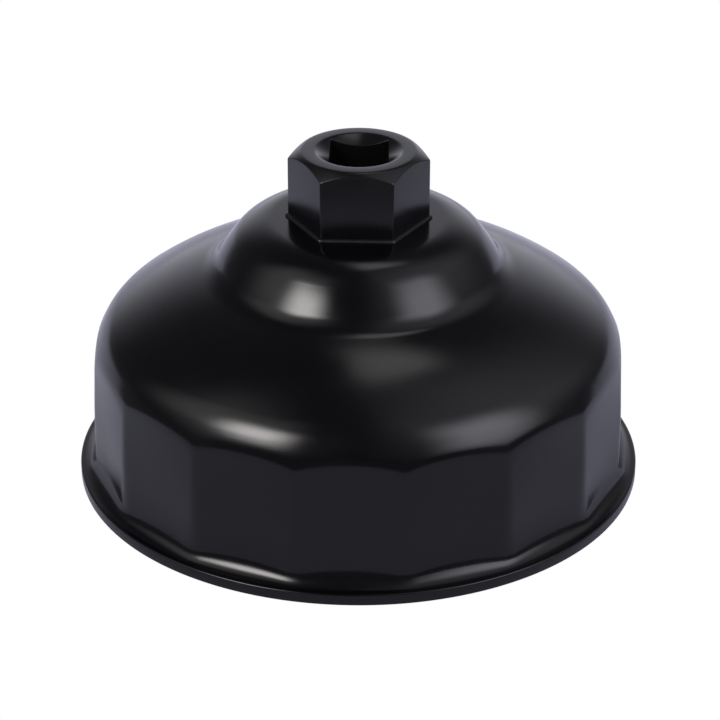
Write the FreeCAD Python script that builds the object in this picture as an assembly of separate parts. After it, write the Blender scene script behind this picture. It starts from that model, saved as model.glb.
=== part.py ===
import FreeCAD, Part
import math
import os

# Cap-type oil filter wrench. Lengths are in millimetres and angles in degrees.
# The cup stands on its rim at z = 0, mouth down, with +Z up the drive axis through the hexagon.
# One flat of the skirt and one flat of the hexagon both face -Y.

# Pressed cup
SHEET = 2.0                      # thickness of the pressed steel
FLUTES = 16                      # flats round the skirt
FILTER_ACROSS_FLATS = 86.0       # inside, from flat to opposite flat
INNER_RIDGE_RADIUS = 2.0         # rounding between two flats, inside
OUTER_RIDGE_RADIUS = INNER_RIDGE_RADIUS + SHEET
RIM_RADIUS = 48.4                # outer edge of the rolled rim
RIM_INNER_ROLL = 4.2             # radius of the lead-in at the mouth
RIM_OUTER_ROLL = RIM_INNER_ROLL - SHEET
RIM_EDGE_ROUND = 0.25            # burr-free edge of the rim
RIDGE_REACH = 1.2                # a ridge stands out from the flats by less than this

# Dome of the cup, an outline of tangent curves that is turned round Z.
# Each radius is that of the outer face, and each turn tips the wall further in.
DOME_RADIUS = 46.0               # upright part of the outline, just outside the ridges
SHOULDER_START_Z = 17.6
SHOULDER_RADIUS = 18.0
SHOULDER_TURN = 28.6
HIP_RADIUS = 9.8
HIP_TURN = 24.0
SLOPE_RADIUS = 46.0
SLOPE_TURN = 21.0
WAIST_RADIUS = 3.6               # hollow curve between the slope and the raised boss
WAIST_TURN = 43.6
BOSS_SIDE_RADIUS = 36.0
BOSS_SIDE_TURN = 8.0
BROW_RADIUS = 8.5                # rounded edge of the boss
CROWN_Z = 46.25                  # flat top of the boss

# Drive hexagon
HEX_ACROSS_FLATS = 20.64         # 13/16 inch bar, which also takes a 21 mm spanner
HEX_CORNER_RADIUS = 0.45
HEX_TOP_Z = 58.35
HEX_FACE_RADIUS = 9.7            # level end face, out to a turned chamfer
HEX_CHAMFER_SLOPE = 38.0
HEX_CLEARANCE = 1.0              # how far the chamfer's cutter runs past the corners
HEX_FOOT_STEP = 0.3              # the foot is this much smaller all round, to hold the braze
SQUARE_DRIVE = 9.8               # 3/8 inch square socket, upper limit of its standard size
SQUARE_CORNER_RADIUS = 0.2
COUNTERSINK_RADIUS = 7.3
COUNTERSINK_SLOPE = 30.0
SPIGOT_RADIUS = 8.5              # round neck of the hexagon, through the crown
SPIGOT_LENGTH = 3.7

# Joints between the hexagon and the cup
BRAZE_WIDTH = 0.55               # thin line of braze round the hexagon's foot
BRAZE_HEIGHT = 0.6
BRAZE_SLOPE = 0.7 * BRAZE_WIDTH  # sloping part of the braze, both ways
WELD_WIDTH = 2.4                 # bead round the neck, inside the cup
WELD_DEPTH = 1.5
WELD_BULGE = 0.6                 # its face's middle, as a share of the width and the depth

SNAP = 0.01                      # how exactly an edge lies where it is looked for
UP = FreeCAD.Vector(0, 0, 1)
CENTRE = FreeCAD.Vector(0, 0, 0)


def polar(radius, angle, z=0.0):
    """Point at that radius and angle round Z."""
    a = math.radians(angle)
    return FreeCAD.Vector(radius * math.cos(a), radius * math.sin(a), z)


def rounded_prism(sides, across_flats, corner_radius, z_low, z_high):
    """Upright prism on a regular polygon with rounded corners and one flat facing -Y."""
    half_step = 180.0 / sides
    centre_distance = (across_flats / 2 - corner_radius) / math.cos(math.radians(half_step))
    arcs = []
    for k in range(sides):
        direction = -90 + (2 * k + 1) * half_step
        middle = polar(centre_distance, direction, z_low)
        points = [middle + polar(corner_radius, direction + d) for d in (-half_step, 0, half_step)]
        arcs.append(points)
    edges = []
    for points, following in zip(arcs, arcs[1:] + arcs[:1]):
        edges.append(Part.Arc(*points).toShape())
        edges.append(Part.makeLine(points[2], following[0]))
    face = Part.Face(Part.Wire(edges))
    return face.extrude(UP * (z_high - z_low))


class Outline:
    """Tangent lines and arcs in the XZ plane, drawn from a start point that heads straight up."""

    def __init__(self, r, z):
        self.here = FreeCAD.Vector(r, 0, z)
        self.tilt = 0.0
        self.edges = []

    def normal(self, tilt):
        a = math.radians(tilt)
        return FreeCAD.Vector(math.cos(a), 0, math.sin(a))

    def line(self, length):
        a = math.radians(self.tilt)
        self.line_to(self.here + FreeCAD.Vector(-math.sin(a), 0, math.cos(a)) * length)

    def line_to(self, point):
        self.edges.append(Part.makeLine(self.here, point))
        self.here = point

    def arc(self, radius, turn):
        """A turn above 0 bends towards the axis, and one below 0 bends away from it."""
        side = math.copysign(radius, turn)
        centre = self.here - self.normal(self.tilt) * side
        middle = centre + self.normal(self.tilt + turn / 2) * side
        end = centre + self.normal(self.tilt + turn) * side
        self.edges.append(Part.Arc(self.here, middle, end).toShape())
        self.here = end
        self.tilt += turn


def turned(edges):
    """Solid of revolution round Z of a closed outline."""
    return Part.Face(Part.Wire(edges)).revolve(CENTRE, UP, 360)


def dome(inset):
    """Solid inside the cup's turned outline, moved in from the outer face by inset."""
    outline = Outline(DOME_RADIUS - inset, 0)
    outline.line(SHOULDER_START_Z)
    outline.arc(SHOULDER_RADIUS - inset, SHOULDER_TURN)
    outline.arc(HIP_RADIUS - inset, HIP_TURN)
    outline.arc(SLOPE_RADIUS - inset, SLOPE_TURN)
    outline.arc(WAIST_RADIUS + inset, -WAIST_TURN)
    outline.arc(BOSS_SIDE_RADIUS - inset, BOSS_SIDE_TURN)
    brow = BROW_RADIUS - inset
    rise = CROWN_Z - inset - outline.here.z - brow * (1 - math.sin(math.radians(outline.tilt)))
    outline.line(rise / math.cos(math.radians(outline.tilt)))
    outline.arc(brow, 90 - outline.tilt)
    outline.line_to(FreeCAD.Vector(0, 0, outline.here.z))
    outline.line_to(CENTRE)
    outline.line_to(FreeCAD.Vector(DOME_RADIUS - inset, 0, 0))
    return turned(outline.edges)


def skirt(inset):
    """The fluted body under the dome: flats where the prism is smaller, a turned dome above."""
    across_flats = FILTER_ACROSS_FLATS + 2 * (SHEET - inset)
    prism = rounded_prism(FLUTES, across_flats, OUTER_RIDGE_RADIUS - inset, 0, CROWN_Z)
    return prism.common(dome(inset))


def edges_at(shape, z, r_low, r_high):
    """Edges that lie at one height, with all their points between two radii."""
    found = []
    for edge in shape.Edges:
        points = edge.discretize(5)
        level = all(abs(p.z - z) < SNAP for p in points)
        if level and all(r_low < math.hypot(p.x, p.y) < r_high for p in points):
            found.append(edge)
    return found


def skirt_edges(shape, z, inset):
    """Edges at one height along the foot of the fluted wall, which is inset from the outer face."""
    flat = FILTER_ACROSS_FLATS / 2 + SHEET - inset
    return edges_at(shape, z, flat - SNAP, flat + RIDGE_REACH)


def make_cup():
    """Pressed cup: fluted skirt, dome and raised boss, rolled rim, and a hole for the hexagon."""
    rim = Part.makeCylinder(RIM_RADIUS, SHEET)
    body = skirt(0).fuse(rim)
    body = body.makeFillet(RIM_OUTER_ROLL, skirt_edges(body, SHEET, 0))
    cup = body.cut(skirt(SHEET))
    cup = cup.cut(Part.makeCylinder(SPIGOT_RADIUS, CROWN_Z))
    cup = cup.makeFillet(RIM_INNER_ROLL, skirt_edges(cup, 0, SHEET))
    rim_edges = []
    for z in (0, SHEET):
        rim_edges += edges_at(cup, z, RIM_RADIUS - SNAP, RIM_RADIUS + SNAP)
    return cup.makeFillet(RIM_EDGE_ROUND, rim_edges)


def make_hex_blank():
    """Hexagon on a stepped foot, with a chamfer turned on its end face."""
    reach = HEX_ACROSS_FLATS / 2 / math.cos(math.radians(30)) + HEX_CLEARANCE
    chamfer_fall = (reach - HEX_FACE_RADIUS) * math.tan(math.radians(HEX_CHAMFER_SLOPE))
    outline = Outline(reach, CROWN_Z)
    outline.line_to(FreeCAD.Vector(reach, 0, HEX_TOP_Z - chamfer_fall))
    outline.line_to(FreeCAD.Vector(HEX_FACE_RADIUS, 0, HEX_TOP_Z))
    outline.line_to(FreeCAD.Vector(0, 0, HEX_TOP_Z))
    outline.line_to(FreeCAD.Vector(0, 0, CROWN_Z))
    outline.line_to(FreeCAD.Vector(reach, 0, CROWN_Z))
    foot_across_flats = HEX_ACROSS_FLATS - 2 * HEX_FOOT_STEP
    foot_top = CROWN_Z + BRAZE_HEIGHT
    foot = rounded_prism(6, foot_across_flats, HEX_CORNER_RADIUS - HEX_FOOT_STEP, CROWN_Z, foot_top)
    bar = rounded_prism(6, HEX_ACROSS_FLATS, HEX_CORNER_RADIUS, foot_top, HEX_TOP_Z)
    return bar.common(turned(outline.edges)).fuse(foot)


def make_drive_hex():
    """Hexagon with its neck, the square drive socket right through, and a countersunk mouth."""
    neck_end = CROWN_Z - SPIGOT_LENGTH
    neck = Part.makeCylinder(SPIGOT_RADIUS, SPIGOT_LENGTH, FreeCAD.Vector(0, 0, neck_end))
    socket = rounded_prism(4, SQUARE_DRIVE, SQUARE_CORNER_RADIUS, neck_end, HEX_TOP_Z)
    depth = COUNTERSINK_RADIUS * math.tan(math.radians(COUNTERSINK_SLOPE))
    mouth = Part.makeCone(0, COUNTERSINK_RADIUS, depth, FreeCAD.Vector(0, 0, HEX_TOP_Z - depth))
    return make_hex_blank().fuse(neck).cut(socket).cut(mouth).removeSplitter()


def make_hex_braze():
    """Thin line of braze that fills the step in the hexagon's foot and slopes out on the crown."""
    top = CROWN_Z + BRAZE_HEIGHT
    across_flats = HEX_ACROSS_FLATS + 2 * BRAZE_WIDTH
    corner_radius = HEX_CORNER_RADIUS + BRAZE_WIDTH
    band = rounded_prism(6, across_flats, corner_radius, CROWN_Z, top)
    band = band.makeChamfer(BRAZE_SLOPE, edges_at(band, top, 0, RIM_RADIUS))
    return band.cut(make_hex_blank())


def make_inner_weld():
    """Weld bead between the neck and the underside of the crown."""
    under_crown = CROWN_Z - SHEET
    corner = FreeCAD.Vector(SPIGOT_RADIUS, 0, under_crown)
    on_crown = corner + FreeCAD.Vector(WELD_WIDTH, 0, 0)
    on_neck = corner - UP * WELD_DEPTH
    bulge = corner + FreeCAD.Vector(WELD_WIDTH, 0, -WELD_DEPTH) * WELD_BULGE
    edges = [
        Part.makeLine(corner, on_crown),
        Part.Arc(on_crown, bulge, on_neck).toShape(),
        Part.makeLine(on_neck, corner),
    ]
    return turned(edges)


def main():
    pieces = {
        "cup": make_cup(),
        "drive_hex": make_drive_hex(),
        "hex_braze": make_hex_braze(),
        "inner_weld": make_inner_weld(),
    }
    os.makedirs("parts", exist_ok=True)
    for name, shape in pieces.items():
        shape.exportStep("parts/" + name + ".step")
        print(name, "solids", len(shape.Solids), "valid", shape.isValid(), "mm3", round(shape.Volume, 1))


main()
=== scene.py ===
import math

import bmesh
import bpy
import numpy as np
from mathutils import Matrix, Vector


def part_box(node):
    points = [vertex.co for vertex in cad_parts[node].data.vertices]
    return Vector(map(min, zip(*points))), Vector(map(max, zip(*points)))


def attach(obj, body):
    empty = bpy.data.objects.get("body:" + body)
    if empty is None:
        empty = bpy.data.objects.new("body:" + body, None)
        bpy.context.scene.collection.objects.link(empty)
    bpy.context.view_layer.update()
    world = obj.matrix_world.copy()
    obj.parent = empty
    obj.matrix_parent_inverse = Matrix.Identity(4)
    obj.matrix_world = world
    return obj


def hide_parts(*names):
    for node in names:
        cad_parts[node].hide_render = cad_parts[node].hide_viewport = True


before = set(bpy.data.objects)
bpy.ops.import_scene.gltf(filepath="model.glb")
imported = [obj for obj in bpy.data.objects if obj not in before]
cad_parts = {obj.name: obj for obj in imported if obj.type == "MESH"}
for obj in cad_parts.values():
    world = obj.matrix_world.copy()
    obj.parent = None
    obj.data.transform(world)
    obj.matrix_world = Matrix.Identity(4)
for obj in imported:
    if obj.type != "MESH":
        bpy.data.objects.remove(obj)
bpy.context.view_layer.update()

# Looks of a cap-type oil filter wrench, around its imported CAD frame.
# The cup stands on its rim at z = 0 with +Z up the drive axis. Everything is in metres.

MM = 0.001

# Driving sizes read from the frame
_, cup_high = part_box("cup")
hex_low, hex_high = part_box("drive_hex")
_, braze_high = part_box("hex_braze")
weld_low, weld_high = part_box("inner_weld")
RIM_RADIUS = cup_high.x
CROWN_Z = cup_high.z
HEX_TOP_Z = hex_high.z
HEX_ACROSS_FLATS = 2 * hex_high.y
NECK_END_Z = hex_low.z

# Pressed cup
SHEET = 2.0 * MM
FLUTES = 16
INNER_ACROSS_FLATS = 86.0 * MM
INNER_RIDGE_RADIUS = 2.0 * MM
OUTER_ACROSS_FLATS = INNER_ACROSS_FLATS + 2 * SHEET
OUTER_RIDGE_RADIUS = INNER_RIDGE_RADIUS + SHEET
NECK_RADIUS = 8.5 * MM

# Rolled rim, and the foot of the wall above it
INNER_ROLL = 4.2 * MM                  # lead-in at the mouth
OUTER_ROLL = 2.85 * MM                 # the roll runs nearly out to the edge of the rim
ROLL_HEIGHT = 4.2 * MM                 # it is taller than it is wide
ROLL_RIDGE_DROP = 1.1 * MM             # and less tall at the ridges
ROLL_START = 14.0                      # degrees of the roll's quarter turn left out at its top
WALL_FOOT_TOP_Z = 9.5 * MM             # from here down the wall leans out towards the roll
WALL_FOOT_FLARE = 0.22 * MM
WALL_FOOT_RIDGE_RADIUS = 8.0 * MM      # ridges get rounder towards the roll
RIM_EDGE_ROUND = 0.25 * MM

# Turned outline of the dome: outer radii, and turns in degrees from upright to level
DOME_RADIUS = 46.0 * MM
SHOULDER_START_Z = 17.6 * MM
DOME_BENDS = (
    (18.0 * MM, 28.6),    # shoulder
    (9.8 * MM, 24.0),     # hip
    (46.0 * MM, 20.12),   # long slope
    (5.6 * MM, -41.62),   # hollow waist under the boss
    (36.0 * MM, 6.90),    # side of the boss
)
BROW_RADIUS = 8.5 * MM

# Softening that pressing gives the flutes where they run out into the shoulder
FLUTE_BLEND = 0.45 * MM
FLUTE_FADE_START_Z = 9.0 * MM
FLUTE_FADE_END_Z = 25.0 * MM
FLAT_FADE = 0.15 * MM
RIDGE_FADE = 0.35 * MM

# Hexagon
HEX_CORNER_RADIUS = 0.45 * MM
HEX_FACE_RADIUS = 9.7 * MM
HEX_CHAMFER_SLOPE = 38.0
SQUARE_DRIVE = 9.8 * MM
SQUARE_CORNER_RADIUS = 0.2 * MM
COUNTERSINK_RADIUS = 7.3 * MM
COUNTERSINK_SLOPE = 30.0

# Joints
BRAZE_WAVER = 0.10                     # the braze line is up to this share thinner in places
BRAZE_WAVES = (23, 7)                  # two waves round the hexagon that make it waver
BRAZE_ROOT = 0.1 * MM                  # how far it reaches into the hexagon's foot
BRAZE_BELLY = (0.75, 0.7)              # fullest point of its section, as shares of width and height
WELD_RIPPLES = 44
WELD_RIPPLE_DEPTH = 0.10               # share of the bead
WELD_FULLNESS = 0.8                    # 1 would be an elliptical bead, and less is fuller

# Fineness of the meshes: how many steps each stretch of a section has
WALL_STEPS = 16
BEND_STEPS = 14
BOSS_SIDE_STEPS = 6
BROW_STEPS = 16
CROWN_STEPS = 4
ROLL_STEPS = 16
LEAD_IN_STEPS = 12
EDGE_STEPS = 4
WELD_STEPS = 12
ANGLES_PER_FLUTE = 24
ANGLES_PER_CORNER = 15
ANGLES_PER_RIPPLE = 10
LONGEST_REACH = 0.45                   # of a corner's curve, as a share of its shorter side
RIDGE_CROWDING = 0.55                  # 0 would space the angles of a flute evenly

# Coating: noise scales, and heights of its relief
PATCH_SCALE = 90
PEEL_SCALE = 700
GRAIN_SCALE = 3500
PEEL_HEIGHT = 0.01 * MM
GRAIN_HEIGHT = 0.02 * MM
TINT_SPREAD = 0.3
COATING_IOR = 1.30
ROUGHNESS_SPREAD = 0.03

# Camera
CAMERA_LENS = 132.7
CAMERA_DISTANCE = 0.4573
CAMERA_AZIMUTH = 1.753
CAMERA_ELEVATION = 27.296
CAMERA_ROLL = 0.1
CAMERA_TARGET = Vector((0.00025, 0.0, 0.01917))

# Studio lights: azimuth (0 is -Y, 90 is +X), elevation, half size and edge softness (round, up),
# all in degrees, then radiance and colour
STUDIO_LIGHTS = (
    (-46, 32.5, (14, 10), (12, 9), 24.0, (1.04, 0.99, 0.98)),    # key box, front left
    (-65, 40, (30, 22), (20, 16), 1.6, (1.0, 1.0, 1.0)),         # spill round the key
    (60, 28, (19, 20), (16, 17), 5.9, (0.98, 0.98, 1.08)),       # fill box, front right
    (75, 48, (48, 30), (34, 26), 1.1, (1.0, 1.0, 1.05)),         # bounce off the right-hand wall
    (160, 75, (26, 9), (14, 7), 2.8, (1.0, 1.0, 1.0)),           # small top light
    (180, 3, (29, 22), (25, 20), 1.3, (0.97, 0.98, 1.1)),        # pale wall behind
)
ROOM_GLOW = (0.13, 0.13, 0.15)
FLOOR_COLOUR = (0.50, 0.51, 0.61)
PAPER_GLOW = (1.0, 1.0, 1.0)
BACKDROP_RADIUS = 6.0
FLOOR_RADIUS = 0.99 * BACKDROP_RADIUS
LIT_FLOOR_Z = -0.2 * MM
FLAG_RADIUS = 135.0 * MM
FLAG_REACH = 100                       # degrees round, each way from the front
FLAG_LOW_Z = 1.0 * MM
FLAG_HIGH_Z = 31.0 * MM
FLAG_GLOW = (0.18, 0.18, 0.21)


def polygon_radius(angles, sides, across_flats, corner_radius):
    """Radius at each angle (radians) of a regular polygon with rounded corners and a flat facing -Y."""
    half_step = math.pi / sides
    local = np.mod(angles + math.pi / 2 + half_step, 2 * half_step) - half_step
    flat = across_flats / 2 / np.cos(local)
    centre = (across_flats / 2 - corner_radius) / math.cos(half_step)
    from_corner = half_step - np.abs(local)
    reach = np.clip(corner_radius**2 - (centre * np.sin(from_corner)) ** 2, 0, None)
    arc = centre * np.cos(from_corner) + np.sqrt(reach)
    tangent = half_step - math.atan2(
        centre * math.sin(half_step), centre * math.cos(half_step) + corner_radius
    )
    return np.where(from_corner < tangent, arc, flat)


def soft_min(a, b, blend):
    """Smaller of a and b, with a rounded change from one to the other."""
    near = np.clip(blend - np.abs(a - b), 0, None) / blend
    return np.minimum(a, b) - near**2 * blend / 4


def smooth_step(x, low, high):
    """0 below low and 1 above high, with a smooth change between them."""
    t = np.clip((x - low) / (high - low), 0, 1)
    return t * t * (3 - 2 * t)


class Outline:
    """Points of tangent lines and arcs in the (radius, height) plane, from a start that heads up."""

    def __init__(self, r, z):
        self.points = [np.array((r, z))]
        self.tilt = 0.0

    def normal(self, tilt):
        a = math.radians(tilt)
        return np.array((math.cos(a), math.sin(a)))

    def line(self, length, steps):
        a = math.radians(self.tilt)
        start = self.points[-1]
        along = np.array((-math.sin(a), math.cos(a))) * length
        self.points += [start + along * k / steps for k in range(1, steps + 1)]

    def arc(self, radius, turn, steps):
        """A turn above 0 bends towards the axis, and one below 0 bends away from it."""
        side = math.copysign(radius, turn)
        centre = self.points[-1] - self.normal(self.tilt) * side
        self.points += [
            centre + self.normal(self.tilt + turn * k / steps) * side for k in range(1, steps + 1)
        ]
        self.tilt += turn


def dome_outline(inset, start_z):
    """The dome's outline from start_z up to the flat crown, moved in from the outer face by inset."""
    outline = Outline(DOME_RADIUS - inset, start_z)
    outline.line(SHOULDER_START_Z - start_z, WALL_STEPS)
    for radius, turn in DOME_BENDS:
        outline.arc(radius - math.copysign(inset, turn), turn, BEND_STEPS)
    brow = BROW_RADIUS - inset
    tilt = math.radians(outline.tilt)
    rise = CROWN_Z - inset - outline.points[-1][1] - brow * (1 - math.sin(tilt))
    outline.line(rise / math.cos(tilt), BOSS_SIDE_STEPS)
    outline.arc(brow, 90 - outline.tilt, BROW_STEPS)
    outline.line(outline.points[-1][0] - NECK_RADIUS, CROWN_STEPS)
    return np.array(outline.points)


def fluted(points, angles, across_flats, ridge_radius):
    """Sections of the turned outline at each angle, cut to the flutes where the dome is wider."""
    flutes = polygon_radius(angles, FLUTES, across_flats, ridge_radius)
    ridge = (flutes - across_flats / 2) / (flutes.max() - across_flats / 2)
    fade = smooth_step(points[:, 1], FLUTE_FADE_START_Z, FLUTE_FADE_END_Z)
    faded = flutes[:, None] - fade[None, :] * (FLAT_FADE + RIDGE_FADE * ridge[:, None])
    r = soft_min(faded, points[None, :, 0], FLUTE_BLEND)
    z = np.broadcast_to(points[None, :, 1], r.shape)
    return np.stack([r, z], axis=2)


def turn_about(centre_r, centre_z, radii, start, end, steps):
    """Part of an ellipse in each section; angles in degrees, from +r towards +z."""
    a = np.radians(np.linspace(start, end, steps + 1))
    columns = [np.asarray(v, float).reshape(-1, 1) for v in (centre_r, centre_z, *radii)]
    r = columns[0] + columns[2] * np.cos(a)
    z = np.broadcast_to(columns[1] + columns[3] * np.sin(a), r.shape)
    return np.stack([r, z], axis=2)


def ring_mesh(name, angles, sections):
    """Closed ring: one closed (radius, height) section at each angle, joined by quads."""
    count, size = sections.shape[:2]
    r, z = sections[..., 0], sections[..., 1]
    points = np.stack([r * np.cos(angles)[:, None], r * np.sin(angles)[:, None], z], axis=2)
    i, j = np.meshgrid(np.arange(count), np.arange(size), indexing="ij")
    i_next, j_next = (i + 1) % count, (j + 1) % size
    quads = np.stack([i * size + j, i * size + j_next, i_next * size + j_next, i_next * size + j], axis=2)
    mesh = bpy.data.meshes.new(name)
    mesh.from_pydata(points.reshape(-1, 3).tolist(), [], quads.reshape(-1, 4).tolist())
    bm = bmesh.new()
    bm.from_mesh(mesh)
    bmesh.ops.recalc_face_normals(bm, faces=bm.faces)
    bm.to_mesh(mesh)
    bm.free()
    mesh.shade_smooth()
    piece = bpy.data.objects.new(name, mesh)
    bpy.context.scene.collection.objects.link(piece)
    return piece


def flute_angles():
    """Angles round the skirt, closer together at the ridges than on the flats."""
    step = 2 * math.pi / FLUTES
    u = np.linspace(-1, 1, ANGLES_PER_FLUTE, endpoint=False)
    local = (u + RIDGE_CROWDING * np.sin(math.pi * u) / math.pi) * step / 2
    middles = -math.pi / 2 + step * np.arange(FLUTES)
    return (middles[:, None] + local[None, :]).ravel()


def corner_angles(step, corners):
    """Even angles round the axis, and closer ones within a spread of each polygon's corners."""
    found = set(np.round(np.arange(0, 360, step), 3))
    for sides, spread in corners:
        near = np.linspace(-spread, spread, ANGLES_PER_CORNER)
        for k in range(sides):
            corner = -90 + (k + 0.5) * 360 / sides
            found |= set(np.round(np.mod(corner + near, 360), 3))
    return np.radians(sorted(found))


def rounded_sections(rows):
    """Closed sections through rows of (radii, heights, reach), each corner a curve of that reach."""
    corners = np.stack([np.stack([r, z], axis=1) for r, z, _ in rows], axis=1)
    parts = []
    for k, (_, _, wanted) in enumerate(rows):
        here = corners[:, k]
        back = corners[:, k - 1] - here
        ahead = corners[:, (k + 1) % len(rows)] - here
        back_length = np.linalg.norm(back, axis=1, keepdims=True)
        ahead_length = np.linalg.norm(ahead, axis=1, keepdims=True)
        reach = np.minimum(wanted, LONGEST_REACH * np.minimum(back_length, ahead_length))
        start = here + back / back_length * reach
        end = here + ahead / ahead_length * reach
        for t in np.linspace(0, 1, EDGE_STEPS + 1):
            parts.append((1 - t) ** 2 * start + 2 * t * (1 - t) * here + t**2 * end)
    return np.stack(parts, axis=1)


def cup_outside(angles):
    """Sections of the outer face, from the crown down to where the roll of the rim starts."""
    roll_top = SHEET + ROLL_HEIGHT * (1 - math.sin(math.radians(ROLL_START)))
    points = dome_outline(0, roll_top)[::-1]
    wall = fluted(points, angles, OUTER_ACROSS_FLATS, OUTER_RIDGE_RADIUS)
    foot = fluted(points, angles, OUTER_ACROSS_FLATS, WALL_FOOT_RIDGE_RADIUS)
    share = np.clip((WALL_FOOT_TOP_Z - points[:, 1]) / (WALL_FOOT_TOP_Z - roll_top), 0, 1) ** 2
    wall += (foot - wall) * share[None, :, None]
    wall[..., 0] += WALL_FOOT_FLARE * share
    return wall


def rolled_rim(outer_wall, inner_wall):
    """Sections of the roll, the rim's rounded edge and the lead-in, between the two faces."""
    ridge = (outer_wall - outer_wall.min()) / np.ptp(outer_wall)
    height = ROLL_HEIGHT - ROLL_RIDGE_DROP * ridge
    end = np.full(len(outer_wall), OUTER_ACROSS_FLATS / 2 + OUTER_ROLL)
    width = (end - outer_wall) / math.cos(math.radians(ROLL_START))
    edge = np.full(len(outer_wall), RIM_RADIUS - RIM_EDGE_ROUND)
    edge_round = (RIM_EDGE_ROUND, RIM_EDGE_ROUND)
    lead_in = (INNER_ROLL, INNER_ROLL)
    return [
        turn_about(end, SHEET + height, (width, height), 180 + ROLL_START, 270, ROLL_STEPS),
        turn_about(edge, SHEET - RIM_EDGE_ROUND, edge_round, 90, 0, EDGE_STEPS),
        turn_about(edge, RIM_EDGE_ROUND, edge_round, 0, -90, EDGE_STEPS),
        turn_about(inner_wall + INNER_ROLL, INNER_ROLL, lead_in, 270, 180, LEAD_IN_STEPS),
    ]


def make_cup():
    """Pressed cup: crown, boss, dome, fluted skirt and rolled rim, with its inner face 2 mm in."""
    angles = flute_angles()
    inner_points = dome_outline(SHEET, INNER_ROLL)
    outer = cup_outside(angles)
    inner = fluted(inner_points, angles, INNER_ACROSS_FLATS, INNER_RIDGE_RADIUS)
    rim = rolled_rim(outer[:, -1, 0], inner[:, 0, 0])
    sections = np.concatenate([outer[:, :-1], *rim, inner[:, 1:]], axis=1)
    return ring_mesh("cup_shell", angles, sections)


def make_hexagon():
    """Hexagon with softened edges, turned end face, countersink, square socket and round neck."""
    angles = corner_angles(2.5, ((6, 1.6), (4, 3.0)))
    flat = polygon_radius(angles, 6, HEX_ACROSS_FLATS, HEX_CORNER_RADIUS)
    square = polygon_radius(angles, 4, SQUARE_DRIVE, SQUARE_CORNER_RADIUS)
    fall = (flat - HEX_FACE_RADIUS) * math.tan(math.radians(HEX_CHAMFER_SLOPE))
    depth = (COUNTERSINK_RADIUS - square) * math.tan(math.radians(COUNTERSINK_SLOPE))
    level = np.ones(len(angles))
    rows = (
        (flat, CROWN_Z * level, 0.05 * MM),                           # foot
        (flat, HEX_TOP_Z - fall, 0.22 * MM),                          # top of the flats
        (HEX_FACE_RADIUS * level, HEX_TOP_Z * level, 0.35 * MM),      # end face
        (COUNTERSINK_RADIUS * level, HEX_TOP_Z * level, 0.3 * MM),    # mouth of the countersink
        (square, HEX_TOP_Z - depth, 0.12 * MM),                       # mouth of the square
        (square, NECK_END_Z * level, 0.25 * MM),                      # lower end of the square
        (NECK_RADIUS * level, NECK_END_Z * level, 0.4 * MM),          # lower end of the neck
        (NECK_RADIUS * level, CROWN_Z * level, 0.05 * MM),            # neck, at the crown
    )
    sections = rounded_sections(rows)
    return ring_mesh("drive_hexagon", angles, sections)


def make_braze():
    """Thin line of braze in the corner between the hexagon and the crown."""
    angles = corner_angles(1.5, ((6, 3.0),))
    width = braze_high.y - hex_high.y
    height = braze_high.z - CROWN_Z
    flat = polygon_radius(angles, 6, HEX_ACROSS_FLATS, HEX_CORNER_RADIUS)
    outer = polygon_radius(angles, 6, HEX_ACROSS_FLATS + 2 * width, HEX_CORNER_RADIUS + width)
    waves = np.sin(BRAZE_WAVES[0] * angles + 1.0) * np.sin(BRAZE_WAVES[1] * angles)
    full = 1 - BRAZE_WAVER * (1 + waves) / 2
    spread = flat + (outer - flat) * full
    belly_r = flat + (spread - flat) * BRAZE_BELLY[0]
    belly_z = CROWN_Z + height * BRAZE_BELLY[1] * full
    level = np.ones(len(angles))
    rows = (
        (flat - BRAZE_ROOT, CROWN_Z * level, 0.02 * MM),
        (spread, CROWN_Z * level, 0.08 * MM),
        (belly_r, belly_z, 0.3 * MM),
        (flat - BRAZE_ROOT, CROWN_Z + height * full, 0.1 * MM),
    )
    sections = rounded_sections(rows)
    return ring_mesh("braze_line", angles, sections)


def make_weld():
    """Weld bead round the neck inside the cup, rippled as a welded pass is."""
    angles = np.linspace(0, 2 * math.pi, WELD_RIPPLES * ANGLES_PER_RIPPLE, endpoint=False)
    along = 2 * np.mod(angles * WELD_RIPPLES / (2 * math.pi), 1) - 1
    swell = 1 - WELD_RIPPLE_DEPTH * (1 - np.sqrt(np.clip(1 - along**2, 0, 1)))
    root_z = weld_high.z
    width = (weld_high.x - NECK_RADIUS) * swell
    depth = (weld_high.z - weld_low.z) * swell
    t = np.linspace(0, math.pi / 2, WELD_STEPS)
    r = NECK_RADIUS + width[:, None] * np.cos(t)[None, :] ** WELD_FULLNESS
    z = root_z - depth[:, None] * np.sin(t)[None, :] ** WELD_FULLNESS
    bead = np.stack([r, z], axis=2)
    root = np.broadcast_to((NECK_RADIUS, root_z), (len(angles), 1, 2))
    return ring_mesh("weld_bead", angles, np.concatenate([bead, root], axis=1))


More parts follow.
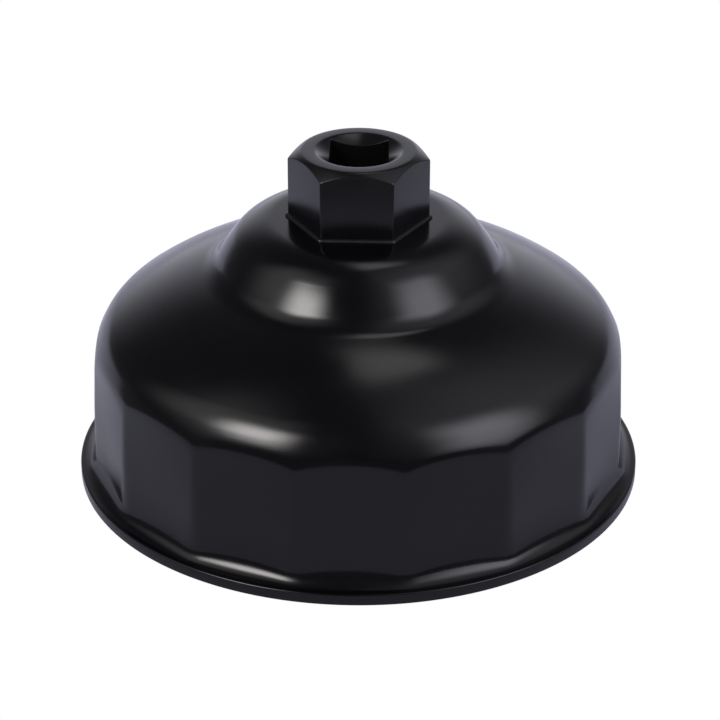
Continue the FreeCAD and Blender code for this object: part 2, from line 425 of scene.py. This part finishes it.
def coating(name, colour, roughness, grain_strength):
    """Semi-gloss black coating: fine grain, faint orange peel and patches of duller finish."""
    material = bpy.data.materials.new(name)
    material.use_nodes = True
    nodes, links = material.node_tree.nodes, material.node_tree.links
    shader = nodes["Principled BSDF"]
    shader.inputs["IOR"].default_value = COATING_IOR
    place = nodes.new("ShaderNodeTexCoord")

    def noise(scale, detail):
        node = nodes.new("ShaderNodeTexNoise")
        node.inputs["Scale"].default_value = scale
        node.inputs["Detail"].default_value = detail
        links.new(place.outputs["Object"], node.inputs["Vector"])
        return node

    def relief(scale, detail, strength, height):
        node = nodes.new("ShaderNodeBump")
        node.inputs["Strength"].default_value = strength
        node.inputs["Distance"].default_value = height
        links.new(noise(scale, detail).outputs["Fac"], node.inputs["Height"])
        return node

    patches = noise(PATCH_SCALE, 4)
    tint = nodes.new("ShaderNodeMix")
    tint.data_type = "RGBA"
    tint.inputs["A"].default_value = (*[c * (1 - TINT_SPREAD) for c in colour], 1)
    tint.inputs["B"].default_value = (*[c * (1 + TINT_SPREAD) for c in colour], 1)
    links.new(patches.outputs["Fac"], tint.inputs["Factor"])
    links.new(tint.outputs["Result"], shader.inputs["Base Color"])
    dull = nodes.new("ShaderNodeMapRange")
    dull.inputs["From Min"].default_value = 0.35
    dull.inputs["From Max"].default_value = 0.65
    dull.inputs["To Min"].default_value = roughness - ROUGHNESS_SPREAD
    dull.inputs["To Max"].default_value = roughness + ROUGHNESS_SPREAD
    links.new(patches.outputs["Fac"], dull.inputs["Value"])
    links.new(dull.outputs["Result"], shader.inputs["Roughness"])
    peel = relief(PEEL_SCALE, 2, 0.25, PEEL_HEIGHT)
    grain = relief(GRAIN_SCALE, 3, grain_strength, GRAIN_HEIGHT)
    links.new(peel.outputs["Normal"], grain.inputs["Normal"])
    links.new(grain.outputs["Normal"], shader.inputs["Normal"])
    return material


def plain(name, colour, glow):
    """Matt stage material that also glows with the given radiance."""
    material = bpy.data.materials.new(name)
    material.use_nodes = True
    shader = material.node_tree.nodes["Principled BSDF"]
    shader.inputs["Base Color"].default_value = (*colour, 1)
    shader.inputs["Roughness"].default_value = 0.9
    shader.inputs["Specular IOR Level"].default_value = 0.0
    shader.inputs["Emission Color"].default_value = (*glow, 1)
    shader.inputs["Emission Strength"].default_value = 1
    return material


def floor_disc(name, z, material):
    """Round floor at height z, marked as part of the stage."""
    mesh = bpy.data.meshes.new(name)
    angles = np.linspace(0, 2 * math.pi, 96, endpoint=False)
    points = [(FLOOR_RADIUS * math.cos(a), FLOOR_RADIUS * math.sin(a), z) for a in angles]
    mesh.from_pydata(points, [], [list(range(len(points)))])
    piece = bpy.data.objects.new(name, mesh)
    piece.data.materials.append(material)
    bpy.context.scene.collection.objects.link(piece)
    return piece


def direction(azimuth, elevation):
    """Unit vector towards that azimuth (0 is -Y, 90 is +X) and elevation, in degrees."""
    a, e = math.radians(azimuth), math.radians(elevation)
    return Vector((math.sin(a) * math.cos(e), -math.cos(a) * math.cos(e), math.sin(e)))


class SkyNodes:
    """Builds the world's shader out of soft patches of light, each placed by azimuth and elevation."""

    def __init__(self, world):
        self.nodes, self.links = world.node_tree.nodes, world.node_tree.links
        place = self.nodes.new("ShaderNodeTexCoord")
        axes = self.nodes.new("ShaderNodeSeparateXYZ")
        self.links.new(place.outputs["Generated"], axes.inputs[0])
        towards_front = self.math("MULTIPLY", axes.outputs["Y"], -1)
        self.azimuth = self.math("ARCTAN2", axes.outputs["X"], towards_front)
        self.elevation = self.math("ARCSINE", axes.outputs["Z"])

    def math(self, operation, *values):
        node = self.nodes.new("ShaderNodeMath")
        node.operation = operation
        for socket, value in zip(node.inputs, values):
            if isinstance(value, (int, float)):
                socket.default_value = value
            else:
                self.links.new(value, socket)
        return node.outputs[0]

    def fall(self, distance, half_width, softness):
        """1 inside half_width, 0 outside, with a smooth edge that is softness wide on each side."""
        node = self.nodes.new("ShaderNodeMapRange")
        node.interpolation_type = "SMOOTHERSTEP"
        node.inputs["From Min"].default_value = math.radians(half_width - softness)
        node.inputs["From Max"].default_value = math.radians(half_width + softness)
        node.inputs["To Min"].default_value = 1
        node.inputs["To Max"].default_value = 0
        self.links.new(distance, node.inputs["Value"])
        return node.outputs["Result"]

    def patch(self, azimuth, elevation, half_size, softness):
        """Soft rectangle of light; sizes are (round, up) in degrees."""
        turn = self.math("SUBTRACT", self.azimuth, math.radians(azimuth))
        turn = self.math("WRAP", turn, math.pi, -math.pi)
        rise = self.math("SUBTRACT", self.elevation, math.radians(elevation))
        across = self.fall(self.math("ABSOLUTE", turn), half_size[0], softness[0])
        up = self.fall(self.math("ABSOLUTE", rise), half_size[1], softness[1])
        return self.math("MULTIPLY", across, up)

    def tinted(self, amount, colour, radiance):
        node = self.nodes.new("ShaderNodeVectorMath")
        node.operation = "SCALE"
        node.inputs[0].default_value = [c * radiance for c in colour]
        self.links.new(amount, node.inputs["Scale"])
        return node.outputs[0]

    def total(self, values):
        result = values[0]
        for value in values[1:]:
            node = self.nodes.new("ShaderNodeVectorMath")
            self.links.new(result, node.inputs[0])
            self.links.new(value, node.inputs[1])
            result = node.outputs[0]
        return result


def make_camera():
    """Camera on a line from the target, turned a little about that line."""
    back = direction(CAMERA_AZIMUTH, CAMERA_ELEVATION)
    a = math.radians(CAMERA_AZIMUTH)
    right = Vector((math.cos(a), math.sin(a), 0))
    up = back.cross(right)
    roll = math.radians(CAMERA_ROLL)
    tilted_right = right * math.cos(roll) + up * math.sin(roll)
    tilted_up = up * math.cos(roll) - right * math.sin(roll)
    place = CAMERA_TARGET + back * CAMERA_DISTANCE
    data = bpy.data.cameras.new("camera")
    data.lens = CAMERA_LENS
    data.sensor_width = 36
    data.clip_start = 0.02
    data.clip_end = 50
    camera = bpy.data.objects.new("camera", data)
    axes = Matrix((tilted_right, tilted_up, back)).transposed().to_4x4()
    camera.matrix_world = Matrix.Translation(place) @ axes
    bpy.context.scene.collection.objects.link(camera)
    bpy.context.scene.camera = camera


def make_world():
    """Studio light: a soft box on each side of the camera, a top light and a pale wall behind."""
    world = bpy.data.worlds.new("studio")
    world.use_nodes = True
    bpy.context.scene.world = world
    sky = SkyNodes(world)
    patches = []
    for azimuth, elevation, half_size, softness, radiance, colour in STUDIO_LIGHTS:
        amount = sky.patch(azimuth, elevation, half_size, softness)
        patches.append(sky.tinted(amount, colour, radiance))
    base = sky.nodes.new("ShaderNodeCombineXYZ")
    for socket, value in zip(base.inputs, ROOM_GLOW):
        socket.default_value = value
    light = sky.total([base.outputs[0], *patches])
    sky.links.new(light, sky.nodes["Background"].inputs["Color"])


def limit_to(piece, *rays):
    """Leaves a stage piece visible to these kinds of ray only."""
    for kind in ("camera", "diffuse", "glossy", "transmission", "volume_scatter", "shadow"):
        setattr(piece, "visible_" + kind, kind in rays)


def make_backdrop():
    """Pale surroundings above the horizon, seen by the camera and not by the object."""
    bpy.ops.mesh.primitive_uv_sphere_add(segments=48, ring_count=24, radius=BACKDROP_RADIUS)
    backdrop = bpy.context.object
    backdrop.name = "backdrop"
    backdrop.data.materials.append(plain("backdrop_paper", (0, 0, 0), PAPER_GLOW))
    limit_to(backdrop, "camera")


def make_flag():
    """Low dark card that curves round the front, and shows only as a reflection on the object."""
    mesh = bpy.data.meshes.new("flag")
    turns = np.radians(np.linspace(-FLAG_REACH, FLAG_REACH, 61))
    low = [(FLAG_RADIUS * math.sin(a), -FLAG_RADIUS * math.cos(a), FLAG_LOW_Z) for a in turns]
    high = [(x, y, FLAG_HIGH_Z) for x, y, _ in low]
    count = len(low)
    faces = [(k, k + 1, count + k + 1, count + k) for k in range(count - 1)]
    mesh.from_pydata(low + high, [], faces)
    flag = bpy.data.objects.new("flag", mesh)
    flag.data.materials.append(plain("flag_card", (0.01, 0.01, 0.01), FLAG_GLOW))
    bpy.context.scene.collection.objects.link(flag)
    limit_to(flag, "glossy")


def make_stage():
    """White floor for the camera, and just under it the lit floor that the object reflects."""
    floor = floor_disc("floor", 0, plain("floor_paper", (0, 0, 0), PAPER_GLOW))
    limit_to(floor, "camera")
    lit_paper = plain("lit_paper", FLOOR_COLOUR, (0, 0, 0))
    lit_floor = floor_disc("lit_floor", LIT_FLOOR_Z, lit_paper)
    limit_to(lit_floor, "diffuse", "glossy", "shadow")
    make_backdrop()
    make_flag()


def use(piece, material, slot, *nodes):
    """Gives a piece its material and puts it on the body in place of the CAD nodes; the slot argument is
    not used.
    """
    piece.data.materials.clear()
    piece.data.materials.append(material)
    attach(piece, "root")
    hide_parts(*nodes)


cup_black = coating("cup_coating", (0.0010, 0.0010, 0.0013), 0.17, 0.16)
hex_black = coating("hex_coating", (0.0020, 0.0020, 0.0023), 0.23, 0.25)
joint_black = coating("joint_coating", (0.0015, 0.0015, 0.0018), 0.42, 0.20)
use(make_cup(), cup_black, "cup_coating", "cup")
use(make_hexagon(), hex_black, "hex_coating", "drive_hex")
use(make_braze(), joint_black, "joint_coating", "hex_braze")
use(make_weld(), joint_black, "joint_coating", "inner_weld")
make_camera()
make_world()
make_stage()
bpy.context.scene.view_settings.view_transform = "Standard"
